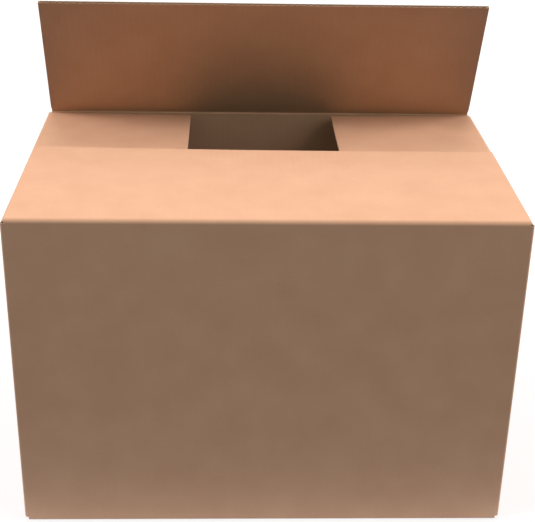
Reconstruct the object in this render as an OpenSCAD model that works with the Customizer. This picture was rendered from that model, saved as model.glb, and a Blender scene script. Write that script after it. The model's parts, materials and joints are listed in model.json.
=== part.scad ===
// Regular slotted shipping box of single-wall corrugated board.
// The front flap lies almost shut and the rear flap stands half open.
// Origin at the middle of the underside: X along the length, Y to the rear, Z up.

/* [Box] */
// Inside length, left to right
inside_length = 457; // [300:1:600]
// Inside width, front to rear
inside_width = 305; // [200:1:400]
// Inside height, between the bottom and top inner flaps
inside_height = 305; // [150:1:450]

/* [Board] */
// Thickness of the board
board = 3; // [2.5:0.1:4.5]
// Thickness of each flat liner
liner = 0.4; // [0.3:0.05:0.6]
// Thickness of the wavy medium between the liners
medium = 0.4; // [0.25:0.05:0.5]
// Distance from one flute to the next
flute_pitch = 6.5; // [5.5:0.1:9]
// Solid board left at the cut sides of a fluted flap
side_margin = 2; // [1:0.5:6]

/* [Folds] */
// Outside radius of the folds that stay shut
fold_radius = 2.5; // [1:0.1:3]
// Outside radius of the creases that the outer top flaps turn on
crease_radius = 1.5; // [0.5:0.1:2.5]
// Width of the crushed board beside a crease
crush_width = 8; // [6:0.5:14]
// Width of the slots cut between neighbouring flaps
slot_width = 4; // [3.5:0.5:9]
// How far the slots run past the creases of the inner flaps
slot_overrun = 1; // [0.5:0.5:6]
// Clearance between boards that move past each other
board_clearance = 0.3; // [0.2:0.05:0.6]

/* [Flaps] */
// How far each side of a flap slants in from the crease to the free edge
flap_taper = 5; // [0:0.5:8]
// Gap between the free edges of two outer flaps that meet
meeting_gap = 1; // [0.4:0.1:4]
// Angle by which the front flap has sprung up from shut
front_lift = 3.4; // [0:0.1:15]
// Angle by which the rear flap stands open from shut
rear_lift = 60; // [20:0.5:85]

/* [Glue lap] */
// Width of the lap inside the right rear corner
lap_width = 35; // [25:1:60]
// Slope of the lap's two ends, in degrees
lap_taper = 15; // [0:1:30]
// Distance of the lap's ends from the inner flaps
lap_trim = 4; // [1:0.5:12]
// Distance of the rear panel's cut edge from the corner
lap_setback = 1; // [0.5:0.1:2]

/* [Hidden] */

KRAFT = "#C79B76";
ARC_STEPS = 6;
ARCH_STEPS = 4;
LAP_FOLD_END = 60;

outer_length = inside_length + 2 * board;
outer_width = inside_width + 2 * board;
inner_flap_top = inside_height + 3 * board;
outer_height = inner_flap_top + board_clearance + board;

flap_length = (outer_width - meeting_gap) / 2;
corner_inset = (board + slot_width) / 2;
outer_flap_width = outer_length - 2 * corner_inset;
inner_flap_width = outer_width - 2 * corner_inset;

ring_low = board + slot_overrun;
ring_high = inner_flap_top - slot_overrun;
stem_lap = board;

// Points of an arc from one angle to another
function arc(centre, radius, from, to) = [
    for (i = [0 : ARC_STEPS])
        let (a = from + (to - from) * i / ARC_STEPS)
            centre + radius * [cos(a), sin(a)]
];

// Section of a board folded square: outer corner at the origin, wall down, flap along +X
function folded_section(stem, reach) = concat(
    arc([fold_radius, -fold_radius], fold_radius, 180, 90),
    [[reach, 0], [reach, -board], [board, -board], [board, -stem], [0, -stem]]
);

// Section of the board beside a moving crease, mitred to half of a square fold
function crease_section(run) =
    let (
        half_gap = asin(board_clearance / 2 / crease_radius),
        mitre_shift = board_clearance / sqrt(2)
    )
    concat(
        arc([crease_radius, -crease_radius], crease_radius, 90, 135 - half_gap),
        [[board + mitre_shift, -board], [run, -board], [run, 0]]
    );

// The same section turned over the fold's diagonal, for the wall below the crease
function below_crease(points) = [for (p = points) [-p.y, -p.x]];

// Hollow between a liner and one arch of the medium, with the arch's crest at x = 0
function flute_hollow() =
    let (
        rise = (board - medium) / 2 - liner,
        slope = 360 * rise / flute_pitch * PI / 180,
        half_medium = medium / 2 * sqrt(1 + slope * slope),
        half_width = acos((liner + half_medium - board / 2) / rise) * flute_pitch / 360
    )
    concat(
        [[-half_width, liner], [half_width, liner]],
        [for (i = [1 : ARCH_STEPS - 1])
            let (x = half_width * (1 - 2 * i / ARCH_STEPS))
                [x, board / 2 - half_medium + rise * cos(360 * x / flute_pitch)]]
    );

// All hollows of a board of the given width, lying on Y = 0 and open at both ends
module flute_hollows(width) {
    count = floor((width - 2 * side_margin) / flute_pitch - 0.5);
    first = -(count - 0.5) / 2 * flute_pitch;
    for (i = [0 : count - 1]) {
        translate([first + i * flute_pitch, 0])
            polygon(flute_hollow());
        translate([first + (i + 0.5) * flute_pitch, board])
            mirror([0, 1])
                polygon(flute_hollow());
    }
}

// Stands a section on one wall: +X of the section points into the box, +Y up
module at_wall(turn, distance, length) {
    rotate([0, 0, turn])
        translate([-distance, 0, 0])
            rotate([90, 0, 0])
                linear_extrude(length, center = true)
                    children();
}

// Outline of the four walls, with the rear panel's cut edge at the right rear corner
module wall_outline() {
    x = outer_length / 2;
    y = outer_width / 2;
    r = fold_radius;
    polygon(concat(
        arc([r - x, r - y], r, 180, 270),
        arc([x - r, r - y], r, 270, 360),
        arc([x - r, y - board - r], r, 0, LAP_FOLD_END),
        [[x - r + r * cos(LAP_FOLD_END), y - board], [x - lap_setback, y - board], [x - lap_setback, y]],
        arc([r - x, y - r], r, 90, 180)
    ));
}

// Four walls from slot end to slot end
module walls() {
    translate([0, 0, ring_low])
        linear_extrude(ring_high - ring_low)
            difference() {
                wall_outline();
                square([inside_length, inside_width], center = true);
            }
}

// Lap of the right end panel, glued inside the rear panel
module glue_lap() {
    low = 2 * board + lap_trim;
    high = inner_flap_top - board - lap_trim;
    fall = lap_width * tan(lap_taper);
    root = inside_length / 2 + board / 2;
    tip = inside_length / 2 - lap_width;
    translate([0, inside_width / 2, 0])
        rotate([90, 0, 0])
            linear_extrude(board)
                polygon([[root, low], [root, high], [inside_length / 2, high],
                         [tip, high - fall], [tip, low + fall], [inside_length / 2, low]]);
}

// Flap beyond its crushed board: crease on the X axis, from height zero up
module flap_slab(width) {
    half = width / 2;
    tip = half - flap_taper;
    linear_extrude(board)
        polygon([[-half, crush_width], [half, crush_width], [tip, flap_length], [-tip, flap_length]]);
}

// The same for a top flap, with its flutes open at the free edge
module fluted_slab(width) {
    tip_width = width - 2 * flap_taper;
    difference() {
        flap_slab(width);
        translate([0, flap_length + board, 0])
            rotate([90, 0, 0])
                linear_extrude(flap_length + board - crush_width)
                    flute_hollows(tip_width);
    }
}

// Two opposite flaps of the bottom, folded in at a height
module bottom_pair(turn, distance, width, height, stem) {
    for (side = [turn, turn + 180]) {
        at_wall(side, distance, width)
            translate([0, height])
                mirror([0, 1])
                    polygon(folded_section(stem, crush_width));
        rotate([0, 0, side - 90])
            translate([0, -distance, height])
                flap_slab(width);
    }
}

// Bottom flaps, the inner pair lying on the outer pair
module bottom_flaps() {
    bottom_pair(90, outer_width / 2, outer_flap_width, 0, ring_low + stem_lap);
    bottom_pair(0, outer_length / 2, inner_flap_width, board, slot_overrun + stem_lap);
}

// Top inner flaps, folded shut from the end walls
module inner_top_flaps() {
    for (turn = [0, 180]) {
        at_wall(turn, outer_length / 2, inner_flap_width)
            translate([0, inner_flap_top])
                polygon(folded_section(slot_overrun + stem_lap, crush_width));
        rotate([0, 0, turn - 90])
            translate([0, -outer_length / 2, inner_flap_top - board])
                fluted_slab(inner_flap_width);
    }
}

// Upper edges of the front and rear walls, up to the creases of the outer flaps
module creased_edges() {
    for (turn = [90, 270])
        at_wall(turn, outer_width / 2, outer_flap_width)
            translate([0, outer_height])
                polygon(below_crease(crease_section(outer_height - ring_high + stem_lap)));
}

// One outer top flap that lies shut, crease on the X axis, outer face on Z = 0
module outer_flap() {
    rotate([90, 0, 90])
        linear_extrude(outer_flap_width, center = true)
            polygon(crease_section(crush_width));
    translate([0, 0, -board])
        fluted_slab(outer_flap_width);
}

// Hangs a flap on the crease of the front wall, opened by an angle
module on_crease(angle) {
    translate([0, -outer_width / 2, outer_height])
        rotate([angle, 0, 0])
            children();
}

module carton() {
    color(KRAFT) {
        walls();
        glue_lap();
        bottom_flaps();
        inner_top_flaps();
        creased_edges();
    }
}

module front_flap() {
    color(KRAFT)
        on_crease(front_lift)
            outer_flap();
}

module rear_flap() {
    color(KRAFT)
        rotate([0, 0, 180])
            on_crease(rear_lift)
                outer_flap();
}

carton();
front_flap();
rear_flap();
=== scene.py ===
"""A shipping box: one slotted, creased and glued sheet of corrugated kraft board.

Sections are drawn in millimetres as (into the box, up) and carried across each panel.
"""

import json
import math

import bpy
import numpy as np
from mathutils import Matrix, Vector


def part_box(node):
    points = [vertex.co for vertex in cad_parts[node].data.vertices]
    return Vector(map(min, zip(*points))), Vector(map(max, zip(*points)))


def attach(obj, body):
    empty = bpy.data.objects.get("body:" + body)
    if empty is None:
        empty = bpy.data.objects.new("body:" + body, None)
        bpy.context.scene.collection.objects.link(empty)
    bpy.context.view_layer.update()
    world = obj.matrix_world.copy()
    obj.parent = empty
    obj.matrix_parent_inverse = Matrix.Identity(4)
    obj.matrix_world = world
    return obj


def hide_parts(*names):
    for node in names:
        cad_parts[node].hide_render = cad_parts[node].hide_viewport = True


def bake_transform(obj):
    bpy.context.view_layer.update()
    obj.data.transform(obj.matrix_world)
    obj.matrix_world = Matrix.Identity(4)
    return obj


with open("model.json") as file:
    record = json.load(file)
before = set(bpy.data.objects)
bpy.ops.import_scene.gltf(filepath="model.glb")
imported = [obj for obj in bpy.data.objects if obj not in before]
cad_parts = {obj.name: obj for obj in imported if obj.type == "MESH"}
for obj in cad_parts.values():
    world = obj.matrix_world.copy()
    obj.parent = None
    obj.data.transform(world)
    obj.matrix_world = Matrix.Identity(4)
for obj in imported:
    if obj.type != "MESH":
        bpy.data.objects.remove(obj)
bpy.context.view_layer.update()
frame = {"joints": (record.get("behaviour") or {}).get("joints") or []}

MM = 0.001

# Sizes of the box, read from the frame
folds = {joint["child"]: joint for joint in frame["joints"]}
carton_low, carton_high = np.array(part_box("carton")) / MM
flap_low, flap_high = np.array(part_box("front_flap")) / MM
LENGTH = carton_high[0] - carton_low[0]
WIDTH = carton_high[1] - carton_low[1]
CREASE_HEIGHT = folds["front_flap"]["pos_m"][2] / MM
FRONT_LIFT = -folds["front_flap"]["range_deg"][0]
REAR_LIFT = -folds["rear_flap"]["range_deg"][0]
OUTER_FLAP_WIDTH = flap_high[0] - flap_low[0]
CORNER_INSET = (LENGTH - OUTER_FLAP_WIDTH) / 2
INNER_FLAP_WIDTH = WIDTH - 2 * CORNER_INSET

# Thicknesses of the board, of each liner and of the wavy medium, and the pitch of its flutes
BOARD = 3.0
LINER = 0.4
MEDIUM = 0.4
FLUTE_PITCH = 6.5

# How the board is cut: the set-back medium at a cut side, and the open flutes at a free edge
EDGE_RECESS = 0.5
SIDE_MARGIN = 2.0
HOLLOW_DEPTH = 25.0

# How it is slotted and folded
BOARD_CLEARANCE = 0.3
MEETING_GAP = 1.0
FLAP_DEPTH = (WIDTH - MEETING_GAP) / 2
FLAP_TAPER = 5.0
TAPER_START = 8.0
INNER_FLAP_TOP = CREASE_HEIGHT - BOARD - BOARD_CLEARANCE
FOLD_RADIUS = 2.5
INSIDE_RADIUS = 0.5
INSIDE_CENTRE = BOARD + INSIDE_RADIUS
SLOT_OVERRUN = 1.0
SLOT_LOW = BOARD + SLOT_OVERRUN
SLOT_HIGH = INNER_FLAP_TOP - SLOT_OVERRUN

# The creases that the outer top flaps turn on, mitred at an angle in degrees
MITRE = 45.0
CREASE_RADIUS = 4.2
CREASE_REACH = 6.0
LINER_SLANT = 0.1
LIP_RADIUS = 0.3
INNER_LINER_SEAT = 1.9
CRUSH_DEPTH = 0.4
CRUSH_WIDTH = 10.0

# The glue lap inside the right rear corner, its ends sloped by an angle in degrees
LAP_WIDTH = 35.0
LAP_TAPER = 15.0
LAP_TRIM = 4.0
LAP_SETBACK = 1.0

# The front flap's curl: its free edge's slope to the right and rise at both ends, in millimetres,
# and the power by which it grows from the crease to that edge
WARP_SLOPE = -1.25
WARP_ENDS = 1.4
WARP_GROWTH = 1.5

# Steps along the profiles and across the panels
FLAP_STEPS = 8
TOP_FLAP_STEPS = 24
WALL_STEPS = 4
FOLD_STEPS = 6
CREASE_STEPS = 12
LIP_STEPS = 4
REACH_STEPS = 2
LAP_STEPS = 2
PANEL_COLUMNS = 32
FLUTE_SAMPLES = 8

# The distance under which two points are one, and the angle in degrees past which an edge is sharp
WELD = 0.001
SHARP_ANGLE = 40.0

# Places in the list of finishes
LINER_FACE = 0
CUT_FACE = 1


def between(first, second, shares):
    """Points from one place or line to another: first + share * (second - first), for each share."""
    return first + shares[..., None] * (second - first)


def straight(start, end, steps):
    """Points on a straight line: start + share * (end - start), for shares from 0 to 1."""
    return between(np.array(start), np.array(end), np.linspace(0, 1, steps + 1))


def bend(centre, radius, start, end, steps):
    """Points on an arc: centre + radius * (cos, sin) of the angles from start to end, in degrees."""
    angle = np.radians(np.linspace(start, end, steps + 1))
    return np.array(centre) + radius * np.stack([np.cos(angle), np.sin(angle)], axis=-1)


def joined(*runs):
    """Runs of points end to end, without the first point of each later run."""
    return np.concatenate([runs[0]] + [run[1:] for run in runs[1:]])


def distance_along(profile):
    """How far along a profile each of its points lies: the lengths of its steps, added up."""
    steps = np.linalg.norm(np.diff(profile, axis=0), axis=1)
    return np.concatenate([[0], np.cumsum(steps)])


def carried(profile, across, inset=0.0):
    """A profile carried straight across a panel: row k, column n is (across n, profile k).

    Each row stops short of the panel's sides by its inset, as at a slanted cut.
    """
    rows, columns = len(profile), len(across)
    reach = across[-1] - np.broadcast_to(inset, rows)[:, None]
    points = np.empty((rows, columns, 3))
    points[..., 0] = np.clip(across, -reach, reach)
    points[..., 1:] = profile[:, None, :]
    return points


def surface(points, along, finish, turned=False):
    """A grid of points with its finish and its map: the distances across and along the flutes."""
    mapped = np.stack([points[..., 0], np.broadcast_to(along, points.shape[:2])], axis=-1)
    return {"points": points, "map": mapped, "finish": finish, "turned": turned}


def cut_side(outer, inner, along, inward):
    """A side cut along the flutes, as six lines from liner to liner.

    Between the edges of the two liners the medium is set back a little, except at the side's ends.
    """
    shares = np.array([0, LINER, LINER, BOARD - LINER, BOARD - LINER, BOARD]) / BOARD
    recess = np.array([0, 0, 1, 1, 0, 0]) * EDGE_RECESS * inward
    fade = np.ones(len(outer))
    fade[[0, -1]] = 0
    points = between(outer[:, None], inner[:, None], shares)
    points[..., 0] += recess * fade[:, None]
    return surface(points, along[:, None], CUT_FACE, turned=inward > 0)


def fluted_end(outer, inner, into_board):
    """A free edge cut across the flutes, as ten lines from liner to liner.

    The medium is a cosine wave between the liners, of one thickness square to its slope. Above and
    below it the lines run into the board and back, which leaves the open flutes.
    """
    across = outer[:, 0]
    liner = LINER / BOARD
    rise = (BOARD - 2 * LINER - MEDIUM) / 2 / BOARD
    phase = 2 * math.pi * across / FLUTE_PITCH
    slope = 2 * math.pi * rise * BOARD / FLUTE_PITCH * np.sin(phase)
    half_medium = MEDIUM / 2 / BOARD * np.sqrt(1 + slope**2)
    middle = 0.5 + rise * np.cos(phase)
    fluted = np.abs(across) < np.abs(across).max() - SIDE_MARGIN
    upper = np.where(fluted, np.clip(middle - half_medium, liner, 1 - liner), liner)
    lower = np.where(fluted, np.clip(middle + half_medium, liner, 1 - liner), 1 - liner)
    above = HOLLOW_DEPTH * (upper > liner)
    below = HOLLOW_DEPTH * (lower < 1 - liner)
    none, one = np.zeros_like(across), np.ones_like(across)
    near, far = liner * one, (1 - liner) * one
    shares = np.stack([none, near, near, upper, upper, lower, lower, far, far, one])
    depth = np.stack([none, none, above, above, none, none, below, below, none, none])
    return between(outer, inner, shares) + depth[..., None] * into_board


def plain_end(outer, inner):
    """An end that isn't cut open, as four lines from liner to liner."""
    shares = np.array([[0], [LINER], [BOARD - LINER], [BOARD]]) / BOARD
    return between(outer, inner, shares)


def board(outer, inner, across, fluted=(False, False), inset=0.0):
    """A panel of board: an outer and an inner profile, point opposite point, carried across the panel.

    Its two liners are the two carried profiles. Strips from liner to liner close its sides and ends.
    """
    outer_face, inner_face = carried(outer, across, inset), carried(inner, across, inset)
    along = distance_along(outer)
    made = [
        surface(outer_face, along[:, None], LINER_FACE),
        surface(inner_face, along[:, None], LINER_FACE, turned=True),
        cut_side(outer_face[:, 0], inner_face[:, 0], along, 1),
        cut_side(outer_face[:, -1], inner_face[:, -1], along, -1),
    ]
    for row, neighbour in ((0, 1), (-1, -2)):
        if fluted[row]:
            inward = outer_face[neighbour, 0] - outer_face[row, 0]
            inward[0] = 0
            lines = fluted_end(outer_face[row], inner_face[row], inward / np.linalg.norm(inward))
        else:
            lines = plain_end(outer_face[row], inner_face[row])
        rows = along[row] + np.linspace(0, BOARD, len(lines))[:, None]
        made.append(surface(lines, rows, CUT_FACE if fluted[row] else LINER_FACE, turned=row == 0))
    return made


def moved(surfaces, place):
    """The same surfaces with every point put through place."""
    return [{**made, "points": place(made["points"])} for made in surfaces]


def turned_about(points, axis, degrees):
    """Points turned about an axis through the origin, as rows times the turn's matrix."""
    return points @ np.array(Matrix.Rotation(math.radians(degrees), 3, axis)).T


def on_wall(turn, distance):
    """Puts a panel on the wall that faces the front, or on another one a turn further round."""
    return lambda points: turned_about(points + np.array([0, -distance, 0]), "Z", turn)


def on_crease(turn, lift):
    """Hangs a shut flap on the crease of the front or rear wall and lifts it."""
    hinge = np.array([0, -WIDTH / 2, CREASE_HEIGHT])
    return lambda points: turned_about(turned_about(points, "X", lift) + hinge, "Z", turn)


def upright(points):
    """Puts a panel whose profile is drawn in plan, as (x, y), on end: its width runs upwards."""
    return points[..., [1, 2, 0]]


def fluted_columns(width):
    """Places across a panel, close enough together to draw each flute."""
    count = round(width * FLUTE_SAMPLES / FLUTE_PITCH)
    return np.linspace(-width / 2, width / 2, count + 1)


def panel_columns(width):
    """Places across a panel that shows no flutes, evenly apart."""
    return np.linspace(-width / 2, width / 2, PANEL_COLUMNS + 1)


def crushed(distance):
    """Depth of the trough that the creasing wheel leaves inside a crease: a smooth step to nothing."""
    share = np.clip((distance - BOARD) / CRUSH_WIDTH, 0, 1)
    return CRUSH_DEPTH * (1 - share * share * (3 - 2 * share))


def flap_inset(profile):
    """How far a flap's sides slant in at each point of its profile: a straight line to its free edge."""
    return FLAP_TAPER * np.clip((profile[:, 0] - TAPER_START) / (FLAP_DEPTH - TAPER_START), 0, 1)


def end_panel():
    """An end wall with its bottom and top inner flaps, folded square at both ends."""
    low, high = BOARD, INNER_FLAP_TOP
    outer = joined(
        straight((FLAP_DEPTH, low), (FOLD_RADIUS, low), FLAP_STEPS),
        bend((FOLD_RADIUS, low + FOLD_RADIUS), FOLD_RADIUS, 270, 180, FOLD_STEPS),
        straight((0, low + FOLD_RADIUS), (0, high - FOLD_RADIUS), WALL_STEPS),
        bend((FOLD_RADIUS, high - FOLD_RADIUS), FOLD_RADIUS, 180, 90, FOLD_STEPS),
        straight((FOLD_RADIUS, high), (FLAP_DEPTH, high), FLAP_STEPS),
    )
    inner = joined(
        straight((FLAP_DEPTH, low + BOARD), (INSIDE_CENTRE, low + BOARD), FLAP_STEPS),
        bend((INSIDE_CENTRE, low + INSIDE_CENTRE), INSIDE_RADIUS, 270, 180, FOLD_STEPS),
        straight((BOARD, low + INSIDE_CENTRE), (BOARD, high - INSIDE_CENTRE), WALL_STEPS),
        bend((INSIDE_CENTRE, high - INSIDE_CENTRE), INSIDE_RADIUS, 180, 90, FOLD_STEPS),
        straight((INSIDE_CENTRE, high - BOARD), (FLAP_DEPTH, high - BOARD), FLAP_STEPS),
    )
    across = fluted_columns(INNER_FLAP_WIDTH)
    return board(outer, inner, across, fluted=(True, True), inset=flap_inset(outer))


def mitre_angle():
    """Angle at which the arc under the outer liner meets the mitre, in degrees from the wall."""
    return MITRE - math.degrees(math.asin(BOARD_CLEARANCE / 2 / (CREASE_RADIUS - LINER)))


def lip_corner():
    """Centre of the rounding between mitre and inner face, as (out from the crease, down)."""
    shift = BOARD_CLEARANCE / math.sqrt(2) + LIP_RADIUS * math.tan(math.radians(MITRE / 2))
    return BOARD + shift, BOARD - LIP_RADIUS


def flap_sections():
    """Outer and inner profile of an outer top flap that lies shut, from its crease to its free edge.

    At the crease the board is mitred, and its outer liner, which ends on a slant, is left to the strip
    that bends there.
    """
    arc_start = 90 + mitre_angle()
    slant = CREASE_REACH - LINER_SLANT
    run, drop = lip_corner()
    outer = joined(
        bend((CREASE_RADIUS, -CREASE_RADIUS), CREASE_RADIUS - LINER, arc_start, 90, LIP_STEPS),
        straight((CREASE_RADIUS, -LINER), (slant, -LINER), REACH_STEPS),
        straight((slant, -LINER), (CREASE_REACH, 0), 1),
        straight((CREASE_REACH, 0), (FLAP_DEPTH, 0), TOP_FLAP_STEPS),
    )
    inner = joined(
        bend((run, -drop), LIP_RADIUS, 180 + MITRE, 270, LIP_STEPS),
        straight((run, -BOARD), (CREASE_REACH, -BOARD), REACH_STEPS),
        straight((CREASE_REACH, -BOARD), (CREASE_REACH + LINER, -BOARD), 1),
        straight((CREASE_REACH + LINER, -BOARD), (FLAP_DEPTH, -BOARD), TOP_FLAP_STEPS),
    )
    return outer, inner


def side_panel():
    """The front wall with its bottom outer flap, up to the crease of its top flap.

    The creased edge is a flap's, turned over the diagonal of the fold.
    """
    last = LIP_STEPS + REACH_STEPS + 1
    edge_outer, edge_inner = (
        np.array([0, CREASE_HEIGHT]) - profile[last::-1, ::-1] for profile in flap_sections()
    )
    outer = joined(
        straight((FLAP_DEPTH, 0), (FOLD_RADIUS, 0), FLAP_STEPS),
        bend((FOLD_RADIUS, FOLD_RADIUS), FOLD_RADIUS, 270, 180, FOLD_STEPS),
        straight((0, FOLD_RADIUS), edge_outer[0], WALL_STEPS),
        edge_outer,
    )
    inner = joined(
        straight((FLAP_DEPTH, BOARD), (INSIDE_CENTRE, BOARD), FLAP_STEPS),
        bend((INSIDE_CENTRE, INSIDE_CENTRE), INSIDE_RADIUS, 270, 180, FOLD_STEPS),
        straight((BOARD, INSIDE_CENTRE), edge_inner[0], WALL_STEPS),
        edge_inner,
    )
    return board(outer, inner, panel_columns(OUTER_FLAP_WIDTH), inset=flap_inset(outer))


def corner_fold(x, y, turn):
    """A folded corner between two walls, from the slots at the bottom to those at the top."""
    outer = joined(
        straight((0, CORNER_INSET), (0, FOLD_RADIUS), 1),
        bend((-FOLD_RADIUS, FOLD_RADIUS), FOLD_RADIUS, 0, -90, FOLD_STEPS),
        straight((-FOLD_RADIUS, 0), (-CORNER_INSET, 0), 1),
    )
    inner = joined(
        straight((-BOARD, CORNER_INSET), (-BOARD, INSIDE_CENTRE), 1),
        bend((-INSIDE_CENTRE, INSIDE_CENTRE), INSIDE_RADIUS, 0, -90, FOLD_STEPS),
        straight((-INSIDE_CENTRE, BOARD), (-CORNER_INSET, BOARD), 1),
    )
    rows = moved(board(outer, inner, np.array([SLOT_LOW, SLOT_HIGH])), upright)
    return moved(rows, lambda points: turned_about(points, "Z", turn) + np.array([x, y, 0]))


def lap_corner():
    """The right rear corner: the rear wall's cut edge, and the end wall's fold into the glue lap."""
    x, y = LENGTH / 2, WIDTH / 2
    radius = CORNER_INSET - BOARD
    heights = np.array([SLOT_LOW, SLOT_HIGH])
    rear_edge = board(
        straight((x - CORNER_INSET, y), (x - LAP_SETBACK, y), 1),
        straight((x - CORNER_INSET, y - BOARD), (x - LAP_SETBACK, y - BOARD), 1),
        heights,
    )
    lap_fold = board(
        bend((x - radius, y - CORNER_INSET), radius, 90, 0, FOLD_STEPS),
        straight((x - BOARD, y - BOARD), (x - BOARD, y - CORNER_INSET), FOLD_STEPS),
        heights,
    )
    return moved(rear_edge + lap_fold, upright)


def glue_lap():
    """The lap inside the rear wall: a flat plate whose ends slope to its free edge."""
    x, y = LENGTH / 2 - BOARD, WIDTH / 2 - BOARD
    low, high = 2 * BOARD + LAP_TRIM, INNER_FLAP_TOP - BOARD - LAP_TRIM
    plate = board(
        straight((x, y - BOARD), (x - LAP_WIDTH, y - BOARD), LAP_STEPS),
        straight((x, y), (x - LAP_WIDTH, y), LAP_STEPS),
        np.linspace(0, 1, LAP_STEPS + 1),
    )

    def sloped(points):
        """Heights from share 0 to 1 between two ends that close in by the distance times the slope."""
        slope = (x - points[..., 1]) * math.tan(math.radians(LAP_TAPER))
        height = low + slope + points[..., 0] * (high - low - 2 * slope)
        return np.stack([points[..., 1], points[..., 2], height], axis=-1)

    return moved(plate, sloped)


def warped(points):
    """The front flap's curl: a quadratic across it, times a power of the share of the way to its edge."""
    place = points[..., 0] / (OUTER_FLAP_WIDTH / 2)
    rise = WARP_SLOPE * place + WARP_ENDS * place**2
    share = np.clip((points[..., 1] - CREASE_REACH) / (FLAP_DEPTH - CREASE_REACH), 0, 1)
    return points + np.stack([0 * rise, 0 * rise, rise * share**WARP_GROWTH], axis=-1)


def flat(points):
    """The rear flap has no curl: every point stays in its place."""
    return points


def liner_strip(outer, inner, width):
    """A bent strip of liner: a path for each face, carried across a crease and closed all round."""
    across = panel_columns(width)
    outside, inside = carried(outer, across), carried(inner, across)
    strip = [
        surface(outside, distance_along(outer)[:, None], LINER_FACE),
        surface(inside, distance_along(inner)[:, None], LINER_FACE, turned=True),
    ]
    for row in (0, -1):
        lines = np.stack([outside[row], inside[row]])
        strip.append(surface(lines, np.array([[0], [LINER]]), LINER_FACE, turned=row == 0))
    for column in (0, -1):
        lines = np.stack([outside[:, column], inside[:, column]], axis=1)
        strip.append(surface(lines, np.array([[0, LINER]]), CUT_FACE, turned=column == 0))
    return strip


def along_flap(lift):
    """Directions of a lifted flap in its section: out from its crease, and to its inner face."""
    cosine, sine = math.cos(math.radians(lift)), math.sin(math.radians(lift))
    return np.array([cosine, sine]), np.array([sine, -cosine])


def outer_crease(lift):
    """The outer liner over a crease: down the wall, round the fold at rest, and along the flap.

    It is a line, an arc that touches wall and flap, and a line, with a second path one liner inside.
    Returned with the two points that the fold runs between.
    """
    turn = 90 - lift
    touch = CREASE_RADIUS * math.tan(math.radians(turn / 2))
    out, down = along_flap(lift)
    outer = joined(
        straight((0, -CREASE_REACH), (0, -touch), 1),
        bend((CREASE_RADIUS, -touch), CREASE_RADIUS, 180, 180 - turn, CREASE_STEPS),
        straight(touch * out, CREASE_REACH * out, 1),
    )
    inner = joined(
        straight((LINER, -CREASE_REACH), (LINER, -touch), 1),
        bend((CREASE_RADIUS, -touch), CREASE_RADIUS - LINER, 180, 180 - turn, CREASE_STEPS),
        straight(touch * out + LINER * down, CREASE_REACH * out + LINER * down, 1),
    )
    return liner_strip(outer, inner, OUTER_FLAP_WIDTH), np.array([0, -touch]), touch * out


def inner_crease(lift):
    """The inner liner in a crease: straight from the wall's mitred edge to the lip of the flap.

    Its two ends are sunk in the board, and its hidden face is one liner nearer to the crease.
    Returned with the two points that it runs between.
    """
    out, down = along_flap(lift)
    wall_end = np.array([1, -1]) * INNER_LINER_SEAT
    flap_end = (BOARD + LIP_RADIUS) * out + (BOARD - CRUSH_DEPTH - LIP_RADIUS / 2) * down
    away = (flap_end - wall_end)[::-1] * np.array([-1, 1]) / np.linalg.norm(flap_end - wall_end)
    face = straight(wall_end, flap_end, CREASE_STEPS)
    return liner_strip(face + LINER * away, face, OUTER_FLAP_WIDTH - 2 * LINER), wall_end, flap_end


def linear(hex_colour):
    """An sRGB hex value as linear red, green, blue and an alpha of 1, by the standard curve."""
    srgb = np.array([int(hex_colour[start:start + 2], 16) for start in (1, 3, 5)]) / 255
    low, high = srgb / 12.92, ((srgb + 0.055) / 1.055) ** 2.4
    return (*np.where(srgb <= 0.04045, low, high), 1.0)


def add(tree, kind, inputs=None, **settings):
    """Adds a node with its settings; an input is a number, a colour or another node's output."""
    made = tree.nodes.new("ShaderNode" + kind)
    for name, value in settings.items():
        setattr(made, name, value)
    for name, value in (inputs or {}).items():
        if isinstance(value, bpy.types.NodeSocket):
            tree.links.new(value, made.inputs[name])
        else:
            made.inputs[name].default_value = value
    return made


def new_material(name):
    """An empty node material."""
    made = bpy.data.materials.new(name)
    made.use_nodes = True
    made.node_tree.nodes.clear()
    return made


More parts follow.
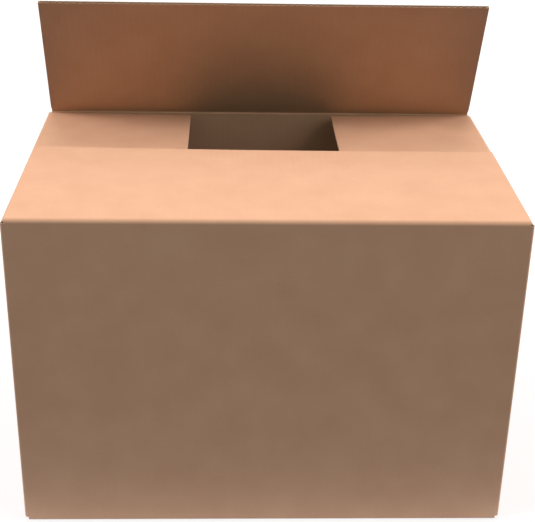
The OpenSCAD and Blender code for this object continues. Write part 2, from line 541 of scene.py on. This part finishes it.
def kraft_liner():
    """Unbleached kraft paper, pressed smooth on the machine: matt, with cloudy pulp and short fibres.

    The eye gets an even warm brown, a little mottled, and at a slant the flutes behind it.
    """
    flute_height, fibre_height = 0.03, 0.04
    # Each layer's size in millimetres, detail, range of its noise, strength and colour. Fibres and
    # flecks are drawn coarser than real ones, so that they show from where the camera stands.
    layers = {
        "clouds": (40.0, 3.0, (0.3, 0.7), 1.0, "#D1A686"),
        "fibres": (1.6, 4.0, (0.3, 0.7), 0.25, "#C49978"),
        "flecks": (3.2, 2.0, (0.7, 0.78), 0.2, "#B08862"),
    }
    made = new_material("kraft_liner_machine_finished")
    tree = made.node_tree
    place = add(tree, "TexCoord").outputs["Object"]
    colour = linear("#CB9F80")
    noise = {}
    for name, (size, detail, (low, high), strength, tint) in layers.items():
        texture = add(tree, "TexNoise", {"Vector": place, "Scale": 1 / (size * MM), "Detail": detail})
        noise[name] = texture.outputs[0]
        share = add(tree, "MapRange", {
            "Value": noise[name], "From Min": low, "From Max": high, "To Max": strength,
        })
        mixed = add(tree, "Mix", {0: share.outputs[0], 6: colour, 7: linear(tint)}, data_type="RGBA")
        colour = mixed.outputs[2]
    across = add(tree, "SeparateXYZ", {0: add(tree, "UVMap", uv_map="board").outputs[0]})
    waves_per_metre = 1 / (FLUTE_PITCH * MM)
    phase = add(tree, "Math", {0: across.outputs[0], 1: 2 * math.pi * waves_per_metre},
                operation="MULTIPLY")
    flutes = add(tree, "Math", {0: phase.outputs[0]}, operation="SINE")
    ridges = add(tree, "Bump", {"Height": flutes.outputs[0], "Distance": flute_height / 2 * MM})
    grain = add(tree, "Bump", {
        "Height": noise["fibres"], "Distance": fibre_height * MM, "Normal": ridges.outputs[0],
    })
    shader = add(tree, "BsdfPrincipled", {
        "Base Color": colour, "Roughness": 0.88, "IOR": 1.5, "Specular IOR Level": 0.2,
        "Normal": grain.outputs[0],
    })
    add(tree, "OutputMaterial", {"Surface": shader.outputs[0]})
    return made


def cut_board_painted_shade():
    """Corrugated board cut with a knife: torn fibres, greyer than the liner, and darker still as painted
    shade of its open flutes.
    """
    fray_size, fray_height = 1.0, 0.1
    made = new_material("corrugated_board_cut_edge_painted_shade")
    tree = made.node_tree
    place = add(tree, "TexCoord").outputs["Object"]
    frayed = add(tree, "TexNoise", {"Vector": place, "Scale": 1 / (fray_size * MM), "Detail": 3.0})
    share = add(tree, "MapRange", {"Value": frayed.outputs[0], "From Min": 0.3, "From Max": 0.7})
    # Both browns are the cut board's own greyer colour plus painted shade: darkened for the shadow inside
    # the open flutes
    colour = add(tree, "Mix", {
        0: share.outputs[0], 6: linear("#9C8168"), 7: linear("#B89A7E"),
    }, data_type="RGBA")
    rough = add(tree, "Bump", {"Height": frayed.outputs[0], "Distance": fray_height * MM})
    shader = add(tree, "BsdfPrincipled", {
        "Base Color": colour.outputs[2], "Roughness": 0.95, "IOR": 1.5, "Specular IOR Level": 0.1,
        "Normal": rough.outputs[0],
    })
    add(tree, "OutputMaterial", {"Surface": shader.outputs[0]})
    return made


FINISHES = [kraft_liner(), cut_board_painted_shade()]


def grid_squares(surfaces):
    """Corners and finish of every square, with the points of all the grids numbered in turn.

    Square (k, n) runs round (k, n), (k, n + 1), (k + 1, n + 1) and (k + 1, n), or the other way
    where the grid is turned.
    """
    squares, finishes = [], []
    start = 0
    for made in surfaces:
        rows, columns = made["points"].shape[:2]
        grid = start + np.arange(rows * columns).reshape(rows, columns)
        start += rows * columns
        corners = np.stack([grid[:-1, :-1], grid[:-1, 1:], grid[1:, 1:], grid[1:, :-1]], axis=-1)
        corners = corners.reshape(-1, 4)
        squares.append(corners[:, ::-1] if made["turned"] else corners)
        finishes.append(np.full(len(corners), made["finish"]))
    return np.concatenate(squares), np.concatenate(finishes)


def piece(name, surfaces):
    """One mesh from grids of points.

    Points in one place become one. A square with two corners in one place becomes a triangle, and one
    with no area is left out.
    """
    points = np.concatenate([made["points"].reshape(-1, 3) for made in surfaces])
    maps = np.concatenate([made["map"].reshape(-1, 2) for made in surfaces])
    squares, finishes = grid_squares(surfaces)
    places = np.round(points / WELD)
    _, first, welded = np.unique(places, axis=0, return_index=True, return_inverse=True)
    faces = welded.reshape(-1)[squares]
    kept = faces != np.roll(faces, -1, axis=1)
    crossed = (faces[:, 0] == faces[:, 2]) | (faces[:, 1] == faces[:, 3])
    whole = kept.all(axis=1) & ~crossed
    thin = (kept.sum(axis=1) == 3) & ~crossed
    triangles = faces[thin][kept[thin]].reshape(-1, 3)
    corners = np.concatenate([squares[whole].reshape(-1), squares[thin][kept[thin]]])
    mesh = bpy.data.meshes.new(name)
    mesh.from_pydata(points[first] * MM, [], faces[whole].tolist() + triangles.tolist())
    board_map = mesh.uv_layers.new(name="board")
    board_map.uv.foreach_set("vector", (maps[corners] * MM).astype(np.float32).reshape(-1))
    mesh.polygons.foreach_set("use_smooth", np.ones(len(mesh.polygons), bool))
    for finish in FINISHES:
        mesh.materials.append(finish)
    mesh.polygons.foreach_set("material_index", np.concatenate([finishes[whole], finishes[thin]]))
    mesh.set_sharp_from_angle(angle=math.radians(SHARP_ANGLE))
    mesh.update()
    made = bpy.data.objects.new(name, mesh)
    bpy.context.scene.collection.objects.link(made)
    return made


def make_carton():
    """Walls, bottom flaps, inner top flaps and glue lap, all of one sheet."""
    x, y = LENGTH / 2, WIDTH / 2
    sheet = corner_fold(x, -y, 0) + corner_fold(-x, y, 180) + corner_fold(-x, -y, 270)
    sheet += lap_corner() + glue_lap()
    for turn in (0, 180):
        sheet += moved(side_panel(), on_wall(turn, y))
        sheet += moved(end_panel(), on_wall(turn + 90, x))
    made = piece("carton_board", sheet)
    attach(made, "carton")
    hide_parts("carton")


def make_flap(body, turn, lift, shape):
    """An outer top flap, and the two liners bent over the crease between it and its wall."""
    across = fluted_columns(OUTER_FLAP_WIDTH)
    outer, inner = flap_sections()
    inner[:, 1] += crushed(inner[:, 0])
    panel = moved(board(outer, inner, across, fluted=(False, True), inset=flap_inset(outer)), shape)
    made = piece(body + "_board", moved(panel, on_crease(turn, lift)))
    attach(made, body)
    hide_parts(body)
    hung = on_crease(turn, 0)
    for name, crease in (("_crease", outer_crease), ("_inner_crease", inner_crease)):
        strip, *ends = crease(lift)
        made = piece(body + name, moved(strip, hung))
        start, end = (tuple(hung(np.array([0, *point])) * MM) for point in ends)
        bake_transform(made)


make_carton()
make_flap("front_flap", 0, FRONT_LIFT, warped)
make_flap("rear_flap", 180, REAR_LIFT, flat)


def seen(tree):
    """1 for the rays that show a thing to the eye, straight, mirrored or through glass, otherwise 0."""
    path = add(tree, "LightPath").outputs
    mirrored = add(tree, "Math", {0: path["Is Camera Ray"], 1: path["Is Glossy Ray"]},
                   operation="MAXIMUM")
    through = add(tree, "Math", {0: mirrored.outputs[0], 1: path["Is Transmission Ray"]},
                  operation="MAXIMUM")
    return through.outputs[0]


def backdrop_paper():
    """Backdrop paper off the roll, smooth and matt: white to the eye, with a faint soft shadow.

    In the light that it throws back it is pale blue beside the box and dim further off, by the
    distance past the box's sides, along or across, whichever is more.
    """
    own_white = 0.75
    pale_until, dim_from = 18.0, 80.0
    box_half = (LENGTH / 2 * MM, WIDTH / 2 * MM, 0)
    made = new_material("paper_backdrop_roll")
    tree = made.node_tree
    place = add(tree, "TexCoord").outputs["Object"]
    from_middle = add(tree, "VectorMath", {0: place}, operation="ABSOLUTE")
    beyond = add(tree, "VectorMath", {0: from_middle.outputs[0], 1: box_half}, operation="SUBTRACT")
    sides = add(tree, "SeparateXYZ", {0: beyond.outputs[0]}).outputs
    distance = add(tree, "Math", {0: sides[0], 1: sides[1]}, operation="MAXIMUM")
    share = add(tree, "MapRange", {
        "Value": distance.outputs[0], "From Min": pale_until * MM, "From Max": dim_from * MM,
    })
    bounce = add(tree, "Mix", {
        0: share.outputs[0], 6: linear("#E0ECFF"), 7: linear("#464E5E"),
    }, data_type="RGBA")
    white = add(tree, "MixShader", {
        0: own_white,
        1: add(tree, "BsdfDiffuse", {"Color": linear("#F4F4F4")}).outputs[0],
        2: add(tree, "Emission", {"Color": linear("#FFFFFF"), "Strength": 1.0}).outputs[0],
    })
    shader = add(tree, "MixShader", {
        0: seen(tree),
        1: add(tree, "BsdfDiffuse", {"Color": bounce.outputs[2]}).outputs[0],
        2: white.outputs[0],
    })
    add(tree, "OutputMaterial", {"Surface": shader.outputs[0]})
    return made


def paper_floor():
    """A flat square of backdrop paper under the box; half is half of its side, in metres."""
    half = 6.0
    corners = [(-half, -half, 0), (half, -half, 0), (half, half, 0), (-half, half, 0)]
    mesh = bpy.data.meshes.new("paper_floor")
    mesh.from_pydata(corners, [], [(0, 1, 2, 3)])
    mesh.materials.append(backdrop_paper())
    floor = bpy.data.objects.new("paper_floor", mesh)
    bpy.context.scene.collection.objects.link(floor)


def even_light():
    """A low even light from all round, in a studio that is white to the eye."""
    world = bpy.data.worlds.new("studio")
    bpy.context.scene.world = world
    world.use_nodes = True
    tree = world.node_tree
    tree.nodes.clear()
    shader = add(tree, "MixShader", {
        0: seen(tree),
        1: add(tree, "Background", {"Color": linear("#E1FFE7"), "Strength": 0.2}).outputs[0],
        2: add(tree, "Background", {"Color": linear("#FFFFFF"), "Strength": 1.0}).outputs[0],
    })
    add(tree, "OutputWorld", {"Surface": shader.outputs[0]})


def soft_lamps():
    """Five soft lamps, far off, that stand round the box from overhead."""
    # Each lamp's level, and in degrees its turns from overhead, to the front and right, and its breadth
    lamps = {
        "rear": (1.68, -35, 0, 50),
        "left": (1.6, 0, -50, 50),
        "right": (2.58, 0, 63, 50),
        "front_right": (0.44, 25, 41, 15),
        "front_left": (0.9, 12, -41, 15),
    }
    for name, (level, front, right, breadth) in lamps.items():
        lamp = bpy.data.lights.new(name + "_softbox", "SUN")
        lamp.energy = level
        lamp.color = linear("#FFF4F7")[:3]
        lamp.angle = math.radians(breadth)
        softbox = bpy.data.objects.new(name + "_softbox", lamp)
        softbox.rotation_euler = (math.radians(front), math.radians(right), 0)
        bpy.context.scene.collection.objects.link(softbox)


def camera():
    """The photograph's camera: its place in millimetres, its turns in degrees and its lens."""
    place = np.array([-35.8, -1095.6, 714.6]) * MM
    yaw, pitch, roll = -2.154, 26.121, 1.169
    made = bpy.data.objects.new("camera", bpy.data.cameras.new("camera"))
    made.data.lens = 79.63
    made.data.sensor_width = 36.0
    made.data.shift_y = 0.0495
    made.matrix_world = (
        Matrix.Translation(place)
        @ Matrix.Rotation(math.radians(yaw), 4, "Z")
        @ Matrix.Rotation(math.radians(90 - pitch), 4, "X")
        @ Matrix.Rotation(math.radians(roll), 4, "Z")
    )
    bpy.context.scene.collection.objects.link(made)
    bpy.context.scene.camera = made


paper_floor()
even_light()
soft_lamps()
camera()
bpy.context.scene.view_settings.view_transform = "Standard"
